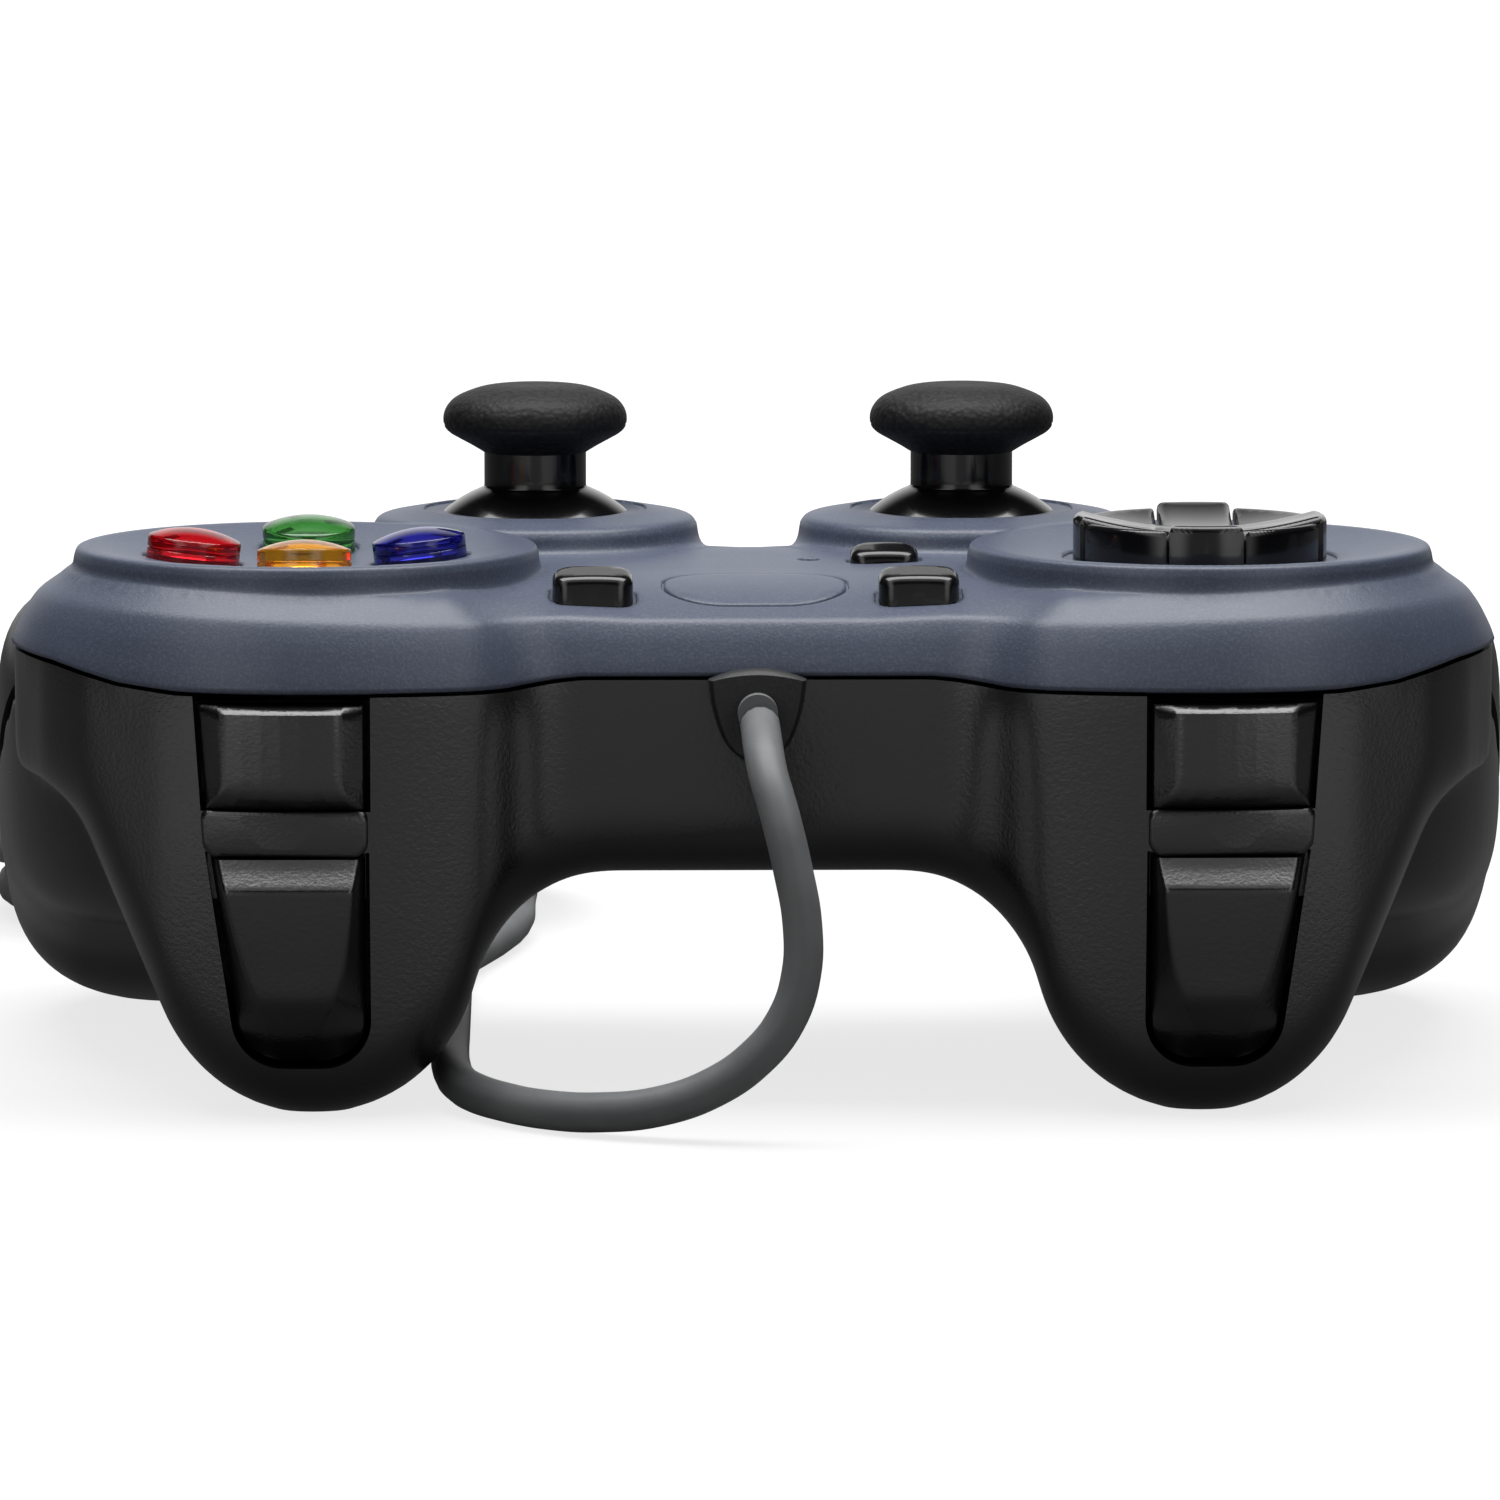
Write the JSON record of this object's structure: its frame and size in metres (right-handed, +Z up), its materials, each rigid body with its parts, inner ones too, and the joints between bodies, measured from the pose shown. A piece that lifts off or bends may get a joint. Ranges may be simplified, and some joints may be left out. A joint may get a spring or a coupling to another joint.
{
  "type": "gamepad controller",
  "caption": "Wired gamepad with two thumb sticks, a dished direction pad, coloured face buttons, bumpers and sprung triggers, two grip handles and a coiled cable with a plug.",
  "frame": {"origin": "middle of the underside of the controller without its cable, on the surface that it stands on", "axes": "+Z up, -Y towards the cable and the triggers, +Y towards the player, +X towards the player's left hand"},
  "size_m": [0.1636, 0.2414, 0.0682],
  "materials": {
    "blue_plastic": "satin moulded plastic with a fine grain",
    "black_shell": "satin black plastic with a fine grain",
    "black_grip": "smooth soft-touch black plastic",
    "gloss_black": "polished black plastic",
    "pad_rubber": "grained rubber",
    "red_clear": "clear tinted plastic",
    "green_clear": "clear tinted plastic",
    "blue_clear": "clear tinted plastic",
    "amber_clear": "clear tinted plastic",
    "lens": "frosted clear plastic",
    "circuit_board": "lacquered board",
    "silicone": "soft silicone",
    "inner_plastic": "plain moulded plastic",
    "light_plastic": "plain moulded plastic",
    "steel": "bright steel",
    "cable_rubber": "matt cable jacket",
    "moulded_rubber": "matt moulded rubber"
  },
  "bodies": {
    "controller": {"top_shell": "blue_plastic", "bottom_shell": "black_shell", "left_grip_cover": "black_grip", "right_grip_cover": "black_grip", "led_lens": "lens", "main_board": "circuit_board", "left_shoulder_board": "circuit_board", "right_shoulder_board": "circuit_board", "dpad_membrane": "silicone", "face_membrane": "silicone", "middle_membrane": "silicone", "left_stick_housing": "inner_plastic", "right_stick_housing": "inner_plastic", "left_stick_sensors": "inner_plastic", "right_stick_sensors": "inner_plastic", "left_trigger_bracket": "inner_plastic", "right_trigger_bracket": "inner_plastic", "dpad_post": "inner_plastic", "cable_connector": "inner_plastic", "left_trigger_pin": "steel", "right_trigger_pin": "steel", "left_trigger_spring": "steel", "right_trigger_spring": "steel", "shell_screws": "steel", "board_screws": "steel", "plug_shell": "steel", "cord_lead": "cable_rubber", "cord_coil": "cable_rubber", "inner_lead": "cable_rubber", "cable_gland": "moulded_rubber", "plug_body": "moulded_rubber", "coil_tie": "moulded_rubber"},
    "red": {"red_button": "red_clear"},
    "blue": {"blue_button": "blue_clear"},
    "green": {"green_button": "green_clear"},
    "yellow": {"yellow_button": "amber_clear"},
    "start": {"start_button": "gloss_black"},
    "back": {"back_button": "gloss_black"},
    "mode": {"mode_button": "gloss_black"},
    "home": {"home_button": "blue_plastic"},
    "left_bumper": {"left_bumper": "black_shell"},
    "left_trigger": {"left_trigger": "black_shell"},
    "left_yoke": {"left_stick_yoke": "light_plastic"},
    "left_rocker": {"left_stick_rocker": "light_plastic"},
    "left_stick": {"left_stick_shaft": "light_plastic", "left_stick_stem": "gloss_black", "left_stick_pad": "pad_rubber"},
    "right_bumper": {"right_bumper": "black_shell"},
    "right_trigger": {"right_trigger": "black_shell"},
    "right_yoke": {"right_stick_yoke": "light_plastic"},
    "right_rocker": {"right_stick_rocker": "light_plastic"},
    "right_stick": {"right_stick_shaft": "light_plastic", "right_stick_stem": "gloss_black", "right_stick_pad": "pad_rubber"},
    "dpad_hub": {"dpad_hub": "inner_plastic"},
    "dpad": {"dpad_cap": "gloss_black"}
  },
  "joints": [
    {"name": "red_press", "type": "slide", "parent": "controller", "child": "red", "axis": [-0.1365, 0, -0.9906], "range_m": [0, 0.0012], "stiffness_N_per_m": 600},
    {"name": "blue_press", "type": "slide", "parent": "controller", "child": "blue", "axis": [0.1365, 0, -0.9906], "range_m": [0, 0.0012], "stiffness_N_per_m": 600},
    {"name": "green_press", "type": "slide", "parent": "controller", "child": "green", "axis": [0, 0.1365, -0.9906], "range_m": [0, 0.0012], "stiffness_N_per_m": 600},
    {"name": "yellow_press", "type": "slide", "parent": "controller", "child": "yellow", "axis": [0, -0.1365, -0.9906], "range_m": [0, 0.0012], "stiffness_N_per_m": 600},
    {"name": "start_press", "type": "slide", "parent": "controller", "child": "start", "axis": [0, 0, -1], "range_m": [0, 0.0006], "stiffness_N_per_m": 900},
    {"name": "back_press", "type": "slide", "parent": "controller", "child": "back", "axis": [0, 0, -1], "range_m": [0, 0.0006], "stiffness_N_per_m": 900},
    {"name": "mode_press", "type": "slide", "parent": "controller", "child": "mode", "axis": [0, 0, -1], "range_m": [0, 0.0006], "stiffness_N_per_m": 900},
    {"name": "home_press", "type": "slide", "parent": "controller", "child": "home", "axis": [0, 0, -1], "range_m": [0, 0.0006], "stiffness_N_per_m": 900},
    {"name": "left_bumper_press", "type": "slide", "parent": "controller", "child": "left_bumper", "axis": [0, 1, 0], "range_m": [0, 0.0008], "stiffness_N_per_m": 2500},
    {"name": "left_trigger_pull", "type": "hinge", "parent": "controller", "child": "left_trigger", "pos_m": [0.047, -0.0432, 0.0288], "axis": [1, 0, 0], "range_deg": [0, 14], "stiffness_Nm_per_rad": 0.2},
    {"name": "left_stick_sideways", "type": "hinge", "parent": "controller", "child": "left_yoke", "pos_m": [0.0222, 0.01, 0.0436], "axis": [0, 1, 0], "range_deg": [-15, 15], "stiffness_Nm_per_rad": 0.06},
    {"name": "left_stick_fore_aft", "type": "hinge", "parent": "left_yoke", "child": "left_rocker", "pos_m": [0.0222, 0.01, 0.0436], "axis": [1, 0, 0], "range_deg": [-15, 15], "stiffness_Nm_per_rad": 0.06},
    {"name": "left_stick_press", "type": "slide", "parent": "left_rocker", "child": "left_stick", "axis": [0, 0, -1], "range_m": [0, 0.0005], "stiffness_N_per_m": 4000},
    {"name": "right_bumper_press", "type": "slide", "parent": "controller", "child": "right_bumper", "axis": [0, 1, 0], "range_m": [0, 0.0008], "stiffness_N_per_m": 2500},
    {"name": "right_trigger_pull", "type": "hinge", "parent": "controller", "child": "right_trigger", "pos_m": [-0.047, -0.0432, 0.0288], "axis": [1, 0, 0], "range_deg": [0, 14], "stiffness_Nm_per_rad": 0.2},
    {"name": "right_stick_sideways", "type": "hinge", "parent": "controller", "child": "right_yoke", "pos_m": [-0.0222, 0.01, 0.0436], "axis": [0, 1, 0], "range_deg": [-15, 15], "stiffness_Nm_per_rad": 0.06},
    {"name": "right_stick_fore_aft", "type": "hinge", "parent": "right_yoke", "child": "right_rocker", "pos_m": [-0.0222, 0.01, 0.0436], "axis": [1, 0, 0], "range_deg": [-15, 15], "stiffness_Nm_per_rad": 0.06},
    {"name": "right_stick_press", "type": "slide", "parent": "right_rocker", "child": "right_stick", "axis": [0, 0, -1], "range_m": [0, 0.0005], "stiffness_N_per_m": 4000},
    {"name": "dpad_fore_aft", "type": "hinge", "parent": "controller", "child": "dpad_hub", "pos_m": [0.0454, -0.02, 0.048], "axis": [1, 0, 0], "range_deg": [-5, 5], "stiffness_Nm_per_rad": 0.2},
    {"name": "dpad_sideways", "type": "hinge", "parent": "dpad_hub", "child": "dpad", "pos_m": [0.0454, -0.02, 0.048], "axis": [0, 1, 0], "range_deg": [-5, 5], "stiffness_Nm_per_rad": 0.2}
  ]
}
